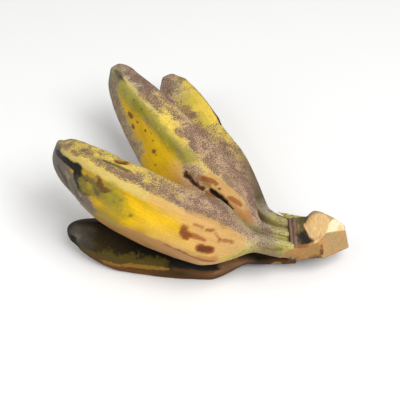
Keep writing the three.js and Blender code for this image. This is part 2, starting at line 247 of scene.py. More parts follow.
def fruit_piece(name, fruit, coats, table, marks, reliefs, seed):
    """One fruit: a dense sphere drawn out along the fruit's course, with its colours in attributes."""
    shape = bmesh.new()
    bmesh.ops.create_uvsphere(shape, u_segments=SKIN_AROUND, v_segments=SKIN_ALONG, radius=1.0)
    mesh = bpy.data.meshes.new(name)
    shape.to_mesh(mesh)
    shape.free()
    ball = np.empty(len(mesh.vertices) * 3)
    mesh.vertices.foreach_get("co", ball)
    ball = ball.reshape(-1, 3)
    drawn = 1 - np.arccos(np.clip(ball[:, 2], -1, 1)) / math.pi
    angle = np.degrees(np.arctan2(ball[:, 1], ball[:, 0]))
    length = fruit["stalk_length"] + fruit["body_length"]
    distance = length * np.sin(math.pi / 2 * drawn) ** RING_CROWDING
    share = (distance - fruit["stalk_length"]) / fruit["body_length"]

    steps = np.arange(0.5, length + 1)
    course = np.vstack([fruit["root"], fruit["root"] + np.cumsum(course_direction(fruit, steps), axis=0)])
    middle = np.stack([np.interp(distance, np.arange(len(course)), course[:, k]) for k in range(3)], axis=1)
    along = course_direction(fruit, distance)
    up = np.array([0.0, 0.0, 1.0]) - along * along[:, 2:]
    up /= np.linalg.norm(up, axis=1)[:, None]
    side = np.cross(along, up)
    mean = mean_radius(fruit, distance)
    radius = mean * ridge_factor(fruit, angle, share)
    radius[drawn <= 0] = 0.0
    turned = np.radians(angle)
    out = up * np.cos(turned)[:, None] + side * np.sin(turned)[:, None]
    straight = np.stack([mean * np.cos(turned), mean * np.sin(turned), distance], axis=1)

    coarse = speckle_field(straight / [1, 1, 1.8], COARSE_GRAIN, seed)
    medium = speckle_field(straight / [1, 1, 1.5], MEDIUM_GRAIN, seed + 1)
    fine = speckle_field(straight, FINE_GRAIN, seed + 2)
    swell = COARSE_DENTS * coarse + MEDIUM_DENTS * medium
    for height, half_width, soft, points in reliefs:
        reach = mark_distance(fruit, share, angle, points)
        swell = swell + height * soft_step(reach, half_width + soft, half_width)
    quiet = np.clip(mean / CLOSED_RADIUS, 0, 1)
    radius = np.maximum(radius + swell * quiet, 0)
    places = middle + out * radius[:, None]
    sliced = knife_depth(places)
    places[:, 1] += np.maximum(sliced, 0)
    places *= MM
    places = places @ np.array(LYING.to_3x3()).T + np.array(LYING.translation)
    places[:, 2] = np.maximum(places[:, 2], 0.0)
    mesh.vertices.foreach_set("co", places.ravel())

    skin = ground_coat(coats, table, share, angle)
    skin[:, :3] *= (1 + 0.10 * medium + 0.06 * coarse)[:, None]
    blotched = (soft_step(0.6 * medium + 0.5 * coarse, 0.1, 0.8) * skin[:, 3] * BLOTCH_COVER)[:, None]
    skin[:, :3] = skin[:, :3] * (1 - blotched) + BLOTCH * blotched
    skin[:, 3] = np.clip(skin[:, 3] * (1 + 0.28 * medium + 0.22 * coarse), 0, 1)
    for coat, strength, half_width, soft, ragged, points in marks:
        colour, freckle = coats[coat]
        reach = mark_distance(fruit, share, angle, points) + ragged * (0.6 * fine + 0.7 * medium)
        cover = (strength * soft_step(reach, half_width + soft, half_width))[:, None]
        skin = skin * (1 - cover) + np.array([*linear(colour), freckle]) * cover
    cover = soft_step(sliced, -0.1, 0.3)[:, None]
    slice_coat = np.array([*linear(coats["tongue"][0]), SLICE_FRECKLES])
    skin = np.clip(skin * (1 - cover) + slice_coat * cover, 0, 1)

    mesh.polygons.foreach_set("use_smooth", [True] * len(mesh.polygons))
    paint = mesh.attributes.new("paint", "FLOAT_COLOR", "POINT")
    paint.data.foreach_set("color", np.column_stack([skin[:, :3], np.ones(len(skin))]).ravel())
    mesh.attributes.new("freckle", "FLOAT", "POINT").data.foreach_set("value", skin[:, 3])
    lay = mesh.attributes.new("lay", "FLOAT_VECTOR", "POINT")
    lay.data.foreach_set("vector", (straight * MM).ravel())
    piece = bpy.data.objects.new(name, mesh)
    bpy.context.collection.objects.link(piece)
    return piece


class SkinGraph:
    """Adds and joins shader nodes; every method gives back the socket that holds its result."""

    def __init__(self, name):
        self.material = bpy.data.materials.new(name)
        self.material.use_nodes = True
        self.tree = self.material.node_tree
        self.shader = self.tree.nodes["Principled BSDF"]

    def node(self, kind, values=(), **settings):
        made = self.tree.nodes.new(kind)
        for key, value in settings.items():
            setattr(made, key, value)
        for key, value in dict(values).items():
            self.put(made.inputs[key], value)
        return made

    def put(self, socket, value):
        if isinstance(value, bpy.types.NodeSocket):
            self.tree.links.new(value, socket)
        else:
            socket.default_value = value

    def attribute(self, name, output):
        return self.node("ShaderNodeAttribute", attribute_name=name).outputs[output]

    def place(self):
        return self.node("ShaderNodeTexCoord").outputs["Object"]

    def noise(self, vector, scale, detail, roughness):
        values = {"Vector": vector, "Scale": scale, "Detail": detail, "Roughness": roughness}
        return self.node("ShaderNodeTexNoise", values).outputs["Fac"]

    def math(self, operation, first, second):
        return self.node("ShaderNodeMath", {0: first, 1: second}, operation=operation).outputs[0]

    def between(self, value, low, high, to_low=0.0, to_high=1.0, smooth=True):
        kind = "SMOOTHSTEP" if smooth else "LINEAR"
        values = {"Value": value, "From Min": low, "From Max": high, "To Min": to_low, "To Max": to_high}
        return self.node("ShaderNodeMapRange", values, interpolation_type=kind).outputs["Result"]

    def mix(self, factor, first, second):
        made = self.node("ShaderNodeMix", data_type="RGBA")
        self.put(made.inputs["Factor"], factor)
        self.put(made.inputs[6], first)
        self.put(made.inputs[7], second)
        return made.outputs[2]

    def stretched(self, vector, scale):
        return self.node("ShaderNodeMapping", {"Vector": vector, "Scale": scale}).outputs["Vector"]

    def bump(self, height, strength, distance):
        values = {"Height": height, "Strength": strength, "Distance": distance}
        self.put(self.shader.inputs["Normal"], self.node("ShaderNodeBump", values).outputs["Normal"])


FRECKLE_BROWN = (0.170, 0.098, 0.074, 1.0)
FRECKLE_HAZE = (0.36, 0.24, 0.19, 1.0)
FRECKLE_COVER = 0.88
HAZE_COVER = 0.55
# The noise that the freckles form on is a blend, and they form where it passes a limit: a high one on clear
# skin, and a low one where they crowd.
GRAIN_SHARE = 0.58
CLUMP_SHARE = 0.17
FINE_SHARE = 0.25
CLEAR_LIMIT = 0.625
CROWDED_LIMIT = 0.445
FRECKLE_DRYNESS = 0.16
WAX_UNEVENNESS = 0.10
SKIN_BUMP_DEPTH = 0.4 * MM


def skin_material(name, gloss_roughness, shine):
    """Waxy skin: its painted ground, brown freckles in clusters, fine pores, and faint fibres lengthways."""
    graph = SkinGraph(name)
    place = graph.place()
    density = graph.attribute("freckle", "Fac")
    clump = graph.noise(place, 200.0, 3.0, 0.6)
    grain = graph.noise(place, 1250.0, 5.0, 0.75)
    fine = graph.noise(place, 1500.0, 2.0, 0.6)
    fibre = graph.noise(graph.stretched(graph.attribute("lay", "Vector"), (1.0, 1.0, 0.06)), 900.0, 3.0, 0.6)

    clustered = graph.math("MULTIPLY", grain, GRAIN_SHARE)
    clustered = graph.math("ADD", clustered, graph.math("MULTIPLY", clump, CLUMP_SHARE))
    clustered = graph.math("ADD", clustered, graph.math("MULTIPLY", fine, FINE_SHARE))
    limit = graph.between(density, 0.0, 1.0, CLEAR_LIMIT, CROWDED_LIMIT, smooth=False)
    over = graph.math("SUBTRACT", clustered, limit)
    freckles = graph.between(over, -0.006, 0.014)
    haze = graph.math("MULTIPLY", graph.between(over, -0.04, 0.012), density)
    pores = graph.between(fine, 0.69, 0.74)

    tint = graph.between(fibre, 0.25, 0.75, 0.88, 1.12, smooth=False)
    tint = graph.math("MULTIPLY", tint, graph.between(fine, 0.3, 0.7, 0.86, 1.14, smooth=False))
    ground = graph.node("ShaderNodeVectorMath", {0: graph.attribute("paint", "Color")}, operation="SCALE")
    graph.put(ground.inputs["Scale"], tint)
    colour = graph.mix(graph.math("MULTIPLY", haze, HAZE_COVER), ground.outputs[0], FRECKLE_HAZE)
    colour = graph.mix(graph.math("MULTIPLY", freckles, FRECKLE_COVER), colour, FRECKLE_BROWN)
    sown = graph.math("MULTIPLY", pores, graph.between(density, 0.0, 0.3, 0.15, 0.5))
    colour = graph.mix(sown, colour, FRECKLE_BROWN)
    graph.put(graph.shader.inputs["Base Color"], colour)
    uneven = graph.between(clump, 0.3, 0.7, 0.0, WAX_UNEVENNESS)
    rough = graph.math("ADD", graph.math("MULTIPLY", freckles, FRECKLE_DRYNESS), uneven)
    graph.put(graph.shader.inputs["Roughness"], graph.math("ADD", rough, gloss_roughness))
    graph.shader.inputs["Specular IOR Level"].default_value = shine
    relief = graph.math("ADD", graph.math("MULTIPLY", fibre, 0.5), graph.math("MULTIPLY", fine, 0.35))
    relief = graph.math("ADD", relief, graph.math("MULTIPLY", freckles, -0.25))
    graph.bump(graph.math("ADD", relief, graph.math("MULTIPLY", clump, 0.6)), 0.45, SKIN_BUMP_DEPTH)
    return graph.material


# Colour of each kind of skin, and how densely it is freckled, from 0 to 1.
COATS = {
    "gold": (0xC49C0C, 0.06),
    "sun": (0xD8AC0E, 0.03),
    "amber": (0xAC841A, 0.14),
    "cream": (0xC8A058, 0.05),
    "pale_ridge": (0xC9B36C, 0.12),
    "freckled": (0xDCBE64, 0.70),
    "freckled_yellow": (0xE8CC58, 0.62),
    "lemon": (0xE8C850, 0.15),
    "olive": (0x857A26, 0.50),
    "deep_green": (0x7C7A1E, 0.30),
    "green": (0xA09A3C, 0.50),
    "lime": (0xCCC27A, 0.50),
    "stalk_olive": (0x847A4C, 0.60),
    "stalk_shade": (0x453A1C, 0.40),
    "mauve": (0xC8A880, 0.78),
    "pale_mauve": (0xC2A288, 0.72),
    "dusk": (0x8A6A4C, 0.80),
    "tip_grey": (0x5C5A56, 0.50),
    "tip_olive": (0x5A5438, 0.60),
    "tip_streak": (0x8C8462, 0.20),
    "slate": (0x3A3430, 0.15),
    "ink": (0x1C1916, 0.00),
    "black": (0x15110E, 0.00),
    "umber": (0x54341E, 0.10),
    "rust": (0x86421A, 0.03),
    "tan": (0xAC7440, 0.10),
    "flesh": (0xC69A5E, 0.04),
    # night and night_olive: near-black peel, painted darker still as shade where they lie on the lower fruit
    # under the front one; night also fills the split bruise on the middle fruit.
    "night": (0x1A150E, 0.10),
    "night_olive": (0x342B16, 0.10),
    "ochre": (0x98702A, 0.10),
    "clay": (0x7C4A26, 0.10),
    "ash_pink": (0x7C5838, 0.30),
    "ash": (0xBEB298, 0.72),
    "stalk_mauve": (0xB8AC90, 0.66),
    "moss_grey": (0x948C66, 0.78),
    "moss": (0x52461A, 0.15),
    # peat: dark brown; by the lower stalk's root it is painted shade under the crown's sliced front.
    "peat": (0x5A3816, 0.00),
    "tongue": (0xA27A44, 0.02),
}

FRONT = {
    "root": np.array([61.0, -70.05, 25.8]),
    "stalk_length": 39.1, "stalk_radius": 5.9, "body_length": 147.8, "body_radius": 21.0,
    "shoulder": 31.6, "point": 63.3, "end_round": 1.44, "end_blunt": 1.62,
    "headings": [(196.9, 34.4), (178.5, 15.3), (156.3, 17.5), (104.1, -22.2)],
    "faces": [6, 60, 120, 185, 250, 308], "neck_twist": -30, "tip_twist": -10,
}

# Rows along the fruit: share of the body from the stalk, then (angle round it, coat).
FRONT_SKIN = [
    (-0.27, [
        (-150, "stalk_olive"), (-100, "green"), (-52, "lime"), (6, "lime"), (60, "green"),
        (150, "stalk_olive"),
    ]),
    (-0.17, [
        (-150, "stalk_shade"), (-100, "stalk_olive"), (-52, "green"), (6, "lime"), (60, "green"),
        (150, "stalk_shade"),
    ]),
    (-0.09, [
        (-150, "stalk_shade"), (-100, "stalk_olive"), (-52, "stalk_olive"), (6, "stalk_mauve"),
        (60, "green"), (150, "stalk_shade"),
    ]),
    (0, [
        (-150, "tan"), (-100, "green"), (-60, "lime"), (-20, "pale_mauve"), (30, "green"),
        (100, "stalk_olive"), (150, "stalk_shade"),
    ]),
    (0.12, [
        (-150, "tan"), (-100, "cream"), (-62, "cream"), (-36, "cream"), (-20, "dusk"), (30, "mauve"),
        (100, "dusk"), (150, "clay"),
    ]),
    (0.28, [
        (-150, "clay"), (-112, "ochre"), (-82, "cream"), (-50, "sun"), (-33, "cream"), (-18, "mauve"),
        (12, "mauve"), (60, "freckled"), (130, "dusk"),
    ]),
    (0.45, [
        (-150, "clay"), (-112, "ochre"), (-82, "gold"), (-55, "sun"), (-33, "gold"), (-16, "freckled"),
        (30, "freckled"), (80, "freckled_yellow"), (140, "mauve"),
    ]),
    (0.62, [
        (-150, "ochre"), (-112, "ochre"), (-82, "amber"), (-55, "gold"), (-32, "amber"),
        (-16, "freckled_yellow"), (30, "freckled_yellow"), (80, "freckled"), (140, "mauve"),
    ]),
    (0.76, [
        (-150, "tip_olive"), (-112, "tip_olive"), (-82, "amber"), (-55, "amber"), (-36, "olive"),
        (-22, "freckled_yellow"), (30, "freckled_yellow"), (80, "freckled"), (140, "mauve"),
    ]),
    (0.86, [
        (-150, "tip_grey"), (-112, "tip_grey"), (-82, "tip_grey"), (-55, "tip_olive"), (-38, "tip_olive"),
        (-14, "freckled"), (10, "freckled_yellow"), (40, "freckled"), (100, "mauve"),
    ]),
    (0.95, [
        (-150, "tip_grey"), (-82, "tip_grey"), (-50, "tip_grey"), (-20, "freckled"), (30, "freckled"),
        (80, "tip_grey"),
    ]),
    (1, [(-150, "slate"), (-60, "slate"), (0, "tip_grey"), (80, "slate")]),
]

# Marks: coat, strength, half width, soft edge and raggedness in mm, then (share, angle) along the mark.
FRONT_MARKS = [
    ("pale_ridge", 0.75, 1.3, 1.6, 0.6, [
        (0.807, -36), (0.701, -27), (0.614, -26), (0.522, -26), (0.42, -26),
    ]),
    ("cream", 0.8, 1.4, 1.6, 0.5, [(0.42, -26), (0.315, -27), (0.213, -28), (0.122, -30), (0.038, -40)]),
    ("tip_grey", 0.9, 6, 3, 1.4, [(0.81, -62), (0.726, -74), (0.67, -87), (0.621, -92)]),
    ("tip_streak", 0.8, 0.6, 0.8, 0.6, [(0.737, -64), (0.687, -74), (0.642, -81)]),
    ("tip_streak", 0.7, 0.5, 0.8, 0.6, [(0.758, -72), (0.712, -81), (0.677, -99)]),
    ("slate", 0.8, 0.7, 0.8, 0.7, [(0.789, -69), (0.733, -76), (0.698, -86)]),
    ("slate", 0.7, 0.6, 0.8, 0.7, [(0.705, -70), (0.666, -78), (0.638, -88)]),
    ("ink", 1, 1.7, 0.8, 0.8, [(0.849, -50), (0.789, -46), (0.73, -44), (0.687, -40)]),
    ("ink", 1, 3, 1.2, 1, [(0.698, -42), (0.677, -54), (0.652, -64)]),
    ("slate", 0.9, 1.5, 1.2, 1.2, [(0.677, -56), (0.642, -66), (0.621, -66)]),
    ("umber", 0.8, 1.3, 1.2, 1.3, [(0.628, -70), (0.596, -60), (0.568, -56)]),
    ("dusk", 0.7, 1.8, 1.5, 1.2, [(0.74, 0), (0.712, -2)]),
    ("dusk", 0.6, 1.2, 1.2, 1.2, [(0.761, -20), (0.737, -21)]),
    ("olive", 0.75, 3.6, 3.5, 2.4, [(0.631, -54), (0.593, -52), (0.55, -57)]),
    ("deep_green", 0.4, 2, 3, 2.4, [(0.55, -40), (0.508, -51), (0.47, -64)]),
    ("slate", 0.6, 0.8, 1.2, 1.4, [(0.656, -45), (0.621, -46), (0.589, -56)]),
    ("dusk", 0.5, 2.2, 2, 2.2, [(0.262, -20), (0.192, -22), (0.122, -28)]),
    ("mauve", 0.6, 2.6, 2.5, 2, [(0.227, -2), (0.139, -9), (0.062, -15)]),
    ("umber", 0.85, 1, 0.8, 0.8, [(0.6, -39), (0.589, -44)]),
    ("umber", 0.85, 1.1, 0.8, 0.8, [(0.575, -48), (0.568, -48)]),
    ("umber", 0.8, 0.6, 0.6, 0.5, [(0.557, -44)]),
    ("umber", 0.8, 0.5, 0.5, 0.4, [(0.642, -50)]),
    ("umber", 0.7, 0.7, 0.6, 0.5, [(0.61, -34)]),
    ("umber", 0.7, 0.5, 0.5, 0.4, [(0.529, -58)]),
    ("umber", 0.6, 0.4, 0.4, 0.3, [(0.512, -51)]),
    ("umber", 0.75, 0.6, 0.6, 0.4, [(0.456, -66)]),
    ("olive", 0.55, 3.5, 4, 1.2, [(0.529, -64), (0.526, -99)]),
    ("slate", 0.85, 1, 0.9, 0.5, [(0.638, 0), (0.593, 2), (0.547, 3)]),
    ("dusk", 0.65, 2.2, 2, 2, [(0.554, -9), (0.512, -4)]),
    ("dusk", 0.5, 1.8, 1.6, 1.8, [(0.441, -9), (0.403, -9)]),
    ("dusk", 0.5, 1.8, 1.6, 1.8, [(0.347, -8), (0.315, -15)]),
    ("rust", 0.8, 1.7, 1, 0.5, [(0.6, 15), (0.575, 22)]),
    ("black", 1, 0.9, 0.5, 0.3, [(0.596, 15), (0.578, 21)]),
    ("clay", 0.6, 0.9, 0.9, 0.6, [(0.593, 37), (0.568, 39)]),
    ("tan", 0.8, 2.2, 2.2, 0.5, [(0.438, -98), (0.319, -96), (0.196, -104), (0.118, -96)]),
    ("umber", 0.7, 0.45, 0.5, 0.4, [(0.297, -92), (0.248, -92)]),
    ("clay", 0.75, 0.6, 0.7, 0.4, [(0.248, -92), (0.199, -98), (0.115, -99)]),
    ("flesh", 0.8, 6, 5, 1, [(0.175, -52), (0.104, -57), (0.045, -62)]),
    ("flesh", 0.6, 3.5, 4, 1, [(0.245, -38), (0.164, -39)]),
    ("rust", 0.9, 1.9, 1.3, 1, [(0.255, -54), (0.238, -63)]),
    ("umber", 0.45, 1, 1, 0.8, [(0.255, -56), (0.238, -62)]),
    ("rust", 0.75, 0.9, 1, 0.9, [(0.224, -58), (0.171, -60)]),
    ("rust", 0.6, 0.5, 0.6, 0.6, [(0.227, -39), (0.192, -40)]),
    ("rust", 0.75, 0.6, 0.6, 0.5, [(0.175, -42), (0.153, -40)]),
    ("rust", 0.65, 0.9, 0.9, 1, [(0.118, -51), (0.062, -52)]),
    ("rust", 0.6, 0.4, 0.5, 0.5, [(0.139, -44), (0.118, -52)]),
    ("rust", 1, 1.9, 1.2, 0.7, [(0.178, -76), (0.139, -75)]),
    ("umber", 0.85, 1.1, 0.8, 0.5, [(0.175, -78), (0.143, -75)]),
    # Mostly painted shade over dark skin: a dark line along the stalk's top edge, where it meets the middle
    # stalk.
    ("umber", 0.75, 0.7, 1.6, 0.6, [(-0.036, 7), (-0.114, 54), (-0.184, 50), (-0.208, 50)]),
    ("umber", 0.5, 1.4, 1.8, 1, [(-0.068, -62), (-0.114, -69), (-0.145, -52)]),
    ("lime", 0.6, 1.2, 1.6, 0.8, [(-0.135, -18), (-0.173, -20)]),
]

# Reliefs: height, half width and soft edge in mm, then (share, angle) along the relief.
FRONT_RELIEFS = [
    (-1.9, 9, 15, [(0.9, 22), (0.8, 38), (0.66, 52)]),
    (-2.6, 0.7, 0.9, [(0.596, 15), (0.578, 21)]),
    (0.5, 1, 0.9, [(0.603, 14), (0.571, 24)]),
    (-0.35, 0.5, 0.8, [(0.638, 0), (0.593, 2), (0.547, 3)]),
    (-0.5, 1.4, 1.6, [(0.178, -76), (0.139, -75)]),
    (-0.35, 1.8, 2, [(0.255, -54), (0.238, -63), (0.189, -62)]),
]

front = fruit_piece("front_fruit", FRONT, COATS, FRONT_SKIN, FRONT_MARKS, FRONT_RELIEFS, 1)
front.data.materials.append(skin_material("ripe_skin", 0.44, 0.14))
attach(front, "root")
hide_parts("finger_front")

# ---------------------------------------------------------------- middle fruit
# The fruit behind the front one, grown in one piece with its stalk. Its front face is yellow and green, its
# upper side mauve brown, and a long bruise near the stalk has split open.

MIDDLE = {
    "root": np.array([61.0, -59.05, 25.8]),
    "stalk_length": 35.2, "stalk_radius": 5.5, "body_length": 154.0, "body_radius": 19.2,
    "shoulder": 28.0, "point": 100.0, "end_round": 1.28, "end_blunt": 2.39,
    "headings": [(162.8, -7.7), (135.6, 8.8), (128.0, 24.2), (117.0, -10.7)],
    "faces": [4, 70, 136, 206, 308], "neck_twist": 6, "tip_twist": -20,
}

# Rows along the fruit: share of the body from the stalk, then (angle round it, coat).
MIDDLE_SKIN = [
    (-0.23, [(-120, "stalk_olive"), (-60, "lime"), (0, "lime"), (60, "green"), (150, "stalk_shade")]),
    (-0.16, [(-120, "stalk_olive"), (-60, "green"), (0, "lime"), (60, "green"), (150, "stalk_shade")]),
    (-0.08, [
        (-120, "stalk_shade"), (-60, "stalk_olive"), (0, "stalk_mauve"), (60, "stalk_mauve"),
        (150, "stalk_shade"),
    ]),
    (0, [
        (-120, "stalk_shade"), (-60, "stalk_olive"), (-20, "tan"), (20, "pale_mauve"), (60, "mauve"),
        (150, "stalk_olive"),
    ]),
    (0.12, [
        (-120, "tan"), (-70, "flesh"), (-40, "flesh"), (-24, "flesh"), (0, "mauve"), (50, "dusk"),
        (90, "dusk"), (150, "dusk"),
    ]),
    (0.26, [
        (-120, "ochre"), (-75, "tan"), (-50, "mauve"), (-30, "pale_ridge"), (-14, "freckled"),
        (14, "mauve"), (50, "pale_mauve"), (90, "mauve"), (150, "dusk"),
    ]),
    (0.42, [
        (-120, "moss_grey"), (-92, "gold"), (-50, "sun"), (-32, "olive"), (-18, "freckled"), (4, "mauve"),
        (36, "mauve"), (70, "pale_mauve"), (150, "dusk"),
    ]),
    (0.58, [
        (-120, "moss_grey"), (-98, "amber"), (-60, "gold"), (-44, "olive"), (-28, "freckled_yellow"),
        (6, "freckled_yellow"), (34, "mauve"), (70, "mauve"), (150, "dusk"),
    ]),
    (0.74, [
        (-125, "moss_grey"), (-100, "moss_grey"), (-80, "gold"), (-58, "olive"), (-38, "green"),
        (-12, "ash"), (24, "mauve"), (70, "mauve"), (150, "dusk"),
    ]),
    (0.88, [
        (-125, "tip_grey"), (-95, "moss_grey"), (-70, "green"), (-52, "green"), (-38, "pale_ridge"),
        (-10, "ash"), (24, "mauve"), (90, "mauve"),
    ]),
    (0.96, [
        (-120, "tip_grey"), (-60, "tip_grey"), (-35, "tip_streak"), (0, "mauve"), (60, "tip_grey"),
        (120, "tip_grey"),
    ]),
    (1, [(-120, "slate"), (0, "tip_grey"), (120, "slate")]),
]

# Marks: coat, strength, half width, soft edge and raggedness in mm, then (share, angle) along the mark.
MIDDLE_MARKS = [
    ("pale_ridge", 0.75, 1, 1.3, 0.4, [
        (0.857, -30), (0.782, -26), (0.7, -24), (0.601, -21), (0.492, -24), (0.389, -20),
    ]),
    ("pale_ridge", 0.6, 0.7, 1, 0.4, [(0.389, -20), (0.3, -15), (0.212, -10), (0.109, -8), (0.044, 2)]),
    ("moss_grey", 0.85, 4.2, 4.5, 2, [(0.874, -40), (0.863, -93), (0.775, -105)]),
    ("moss_grey", 0.8, 2, 3.5, 2.2, [(0.775, -105), (0.693, -108), (0.597, -104), (0.519, -100)]),
    ("slate", 0.7, 1.8, 1.6, 1, [(0.911, -32), (0.84, -36)]),
    ("slate", 0.6, 0.6, 0.6, 0.5, [(0.86, -33), (0.809, -32)]),
    ("green", 0.7, 3.5, 3, 0.8, [(0.805, -48), (0.737, -54)]),
    ("deep_green", 0.65, 2, 4, 2.6, [(0.683, -45), (0.587, -34), (0.512, -32), (0.403, -27), (0.338, -26)]),
    ("umber", 0.85, 1.1, 0.8, 0.9, [(0.689, -80), (0.666, -78)]),
    ("umber", 0.85, 0.7, 0.6, 0.6, [(0.625, -72)]),
    ("umber", 0.85, 0.8, 0.7, 0.6, [(0.635, -87), (0.625, -87)]),
    ("umber", 0.9, 0.7, 0.6, 0.5, [(0.573, -66)]),
    ("umber", 0.75, 0.45, 0.4, 0.3, [(0.546, -58)]),
    ("umber", 0.85, 0.5, 0.4, 0.3, [(0.519, -64)]),
    ("umber", 0.85, 1, 0.7, 0.8, [(0.481, -75)]),
    ("umber", 0.7, 0.35, 0.35, 0.2, [(0.587, -52)]),
    ("umber", 0.7, 0.35, 0.35, 0.2, [(0.601, -46)]),
    ("umber", 0.8, 0.45, 0.4, 0.3, [(0.707, -44)]),
    ("umber", 0.8, 0.4, 0.4, 0.3, [(0.648, -42)]),
    ("umber", 0.75, 0.35, 0.35, 0.2, [(0.461, -76)]),
    ("umber", 0.8, 0.4, 0.35, 0.2, [(0.433, -86)]),
    ("clay", 0.6, 0.4, 0.4, 0.2, [(0.372, -58)]),
    ("olive", 0.6, 0.6, 0.8, 0.4, [(0.474, -44)]),
    ("umber", 0.6, 0.6, 0.7, 0.5, [(0.734, -90)]),
    ("umber", 0.6, 0.6, 0.7, 0.6, [(0.717, -102)]),
    ("dusk", 0.6, 3, 2.5, 2, [(0.707, -9), (0.659, -6)]),
    ("dusk", 0.6, 1.4, 1.4, 1.2, [(0.853, -6), (0.812, -2)]),
    ("slate", 0.5, 1.2, 1.2, 0.8, [(0.724, -12)]),
    ("lemon", 0.6, 2.2, 2, 1.4, [(0.556, -12), (0.529, -10)]),
    ("lemon", 0.45, 2, 2, 1.4, [(0.498, -16), (0.423, -6)]),
    ("dusk", 0.55, 1.3, 1.3, 1.2, [(0.488, -8), (0.454, -6)]),
    ("dusk", 0.55, 1.5, 1.3, 1.2, [(0.3, 2), (0.246, 2)]),
    ("slate", 0.5, 1.4, 1.4, 1, [(0.188, 6), (0.133, 3)]),
    ("mauve", 0.8, 3.2, 2.5, 1.2, [(0.311, -39), (0.259, -34)]),
    ("clay", 0.7, 1.6, 1.6, 1.2, [(0.253, -34), (0.201, -30)]),
    ("flesh", 0.9, 2, 1.6, 0.5, [(0.225, -18), (0.164, -16), (0.082, -10), (0.014, -10)]),
    ("rust", 0.8, 0.9, 0.8, 0.8, [(0.236, -30), (0.201, -21), (0.178, -20)]),
    ("umber", 0.9, 0.6, 0.5, 0.4, [(0.15, -22)]),
    ("rust", 0.75, 1, 0.9, 0.9, [(0.089, -21), (0.048, -12)]),
    ("rust", 0.8, 1, 0.9, 0.7, [(0.184, -44), (0.14, -39)]),
    ("umber", 1, 1.5, 0.9, 1.3, [(0.311, -52), (0.28, -50), (0.239, -50), (0.205, -45)]),
    ("night", 0.85, 0.7, 0.6, 0.6, [(0.3, -52), (0.287, -51)]),
    ("night", 0.8, 0.6, 0.5, 0.5, [(0.266, -50), (0.236, -50)]),
    ("black", 1, 1.15, 0.5, 0.35, [(0.178, -36), (0.126, -32), (0.092, -32)]),
    ("black", 1, 0.6, 0.5, 0.3, [(0.099, -33), (0.058, -33)]),
    ("tan", 0.7, 1.8, 1.8, 0.6, [(0.007, -10), (-0.014, -14)]),
    # Mostly painted shade over dark skin: a dark line along the stalk's top edge, where it meets the back
    # stalk.
    ("umber", 0.75, 0.7, 1.4, 0.5, [(-0.007, 51), (-0.078, 44), (-0.133, 44), (-0.184, 44)]),
    ("umber", 0.7, 0.7, 1.4, 0.5, [(-0.082, -30), (-0.143, -27), (-0.191, -34)]),
]

# Reliefs: height, half width and soft edge in mm, then (share, angle) along the relief.
MIDDLE_RELIEFS = [
    (-1.3, 5, 10, [(0.8, 45), (0.66, 50)]),
    (-2.2, 0.9, 0.9, [(0.178, -36), (0.126, -32), (0.092, -32)]),
    (-1.6, 0.4, 0.8, [(0.099, -33), (0.058, -33)]),
    (-0.5, 1.4, 1.6, [(0.311, -52), (0.239, -50), (0.205, -45)]),
    (0.35, 1.6, 1.4, [(0.225, -18), (0.164, -16), (0.082, -10)]),
]

middle_fruit = fruit_piece("middle_fruit", MIDDLE, COATS, MIDDLE_SKIN, MIDDLE_MARKS, MIDDLE_RELIEFS, 4)
middle_fruit.data.materials.append(skin_material("mottled_skin", 0.48, 0.14))
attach(middle_fruit, "root")
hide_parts("finger_middle")

# ---------------------------------------------------------------- back fruit
# The slimmest fruit, grown in one piece with its stalk, furthest back in the row. Its skin is yellow towards
# the tip and browned towards the stalk, with a small nick in its back edge.

BACK = {
    "root": np.array([61.0, -48.95, 25.8]),
    "stalk_length": 31.5, "stalk_radius": 5.0, "body_length": 147.4, "body_radius": 14.4,
    "shoulder": 67.5, "point": 44.6, "end_round": 1.66, "end_blunt": 2.35,
    "headings": [(145.2, -14.0), (110.5, -11.0), (120.2, 6.6), (112.5, 8.3)],
    "faces": [4, 76, 148, 220, 290], "neck_twist": 0, "tip_twist": -14,
}

# Rows along the fruit: share of the body from the stalk, then (angle round it, coat).
BACK_SKIN = [
    (-0.21, [(-120, "stalk_olive"), (-60, "lime"), (0, "lime"), (60, "green"), (150, "stalk_shade")]),
    (-0.13, [(-120, "stalk_olive"), (-60, "green"), (0, "lime"), (60, "green"), (150, "stalk_shade")]),
    (-0.05, [
        (-120, "stalk_shade"), (-60, "stalk_olive"), (0, "stalk_mauve"), (60, "stalk_mauve"),
        (150, "stalk_shade"),
    ]),
    (0.05, [
        (-120, "stalk_olive"), (-50, "mauve"), (0, "tip_olive"), (60, "tip_olive"), (150, "stalk_olive"),
    ]),
    (0.22, [(-120, "dusk"), (-50, "mauve"), (0, "mauve"), (40, "tip_olive"), (100, "mauve"), (160, "dusk")]),
    (0.4, [
        (-120, "dusk"), (-50, "pale_mauve"), (-10, "mauve"), (30, "freckled"), (80, "freckled"),
        (150, "dusk"),
    ]),
    (0.55, [
        (-120, "dusk"), (-50, "mauve"), (-14, "freckled"), (22, "freckled_yellow"), (70, "freckled"),
        (150, "dusk"),
    ]),
    (0.72, [
        (-120, "mauve"), (-50, "freckled"), (-14, "freckled_yellow"), (20, "lemon"), (60, "green"),
        (150, "mauve"),
    ]),
    (0.88, [
        (-120, "mauve"), (-50, "pale_mauve"), (-14, "ash"), (20, "freckled_yellow"), (60, "freckled"),
        (150, "mauve"),
    ]),
    (0.97, [(-120, "tip_grey"), (-30, "mauve"), (20, "mauve"), (100, "tip_grey")]),
    (1, [(-120, "slate"), (0, "tip_grey"), (120, "slate")]),
]

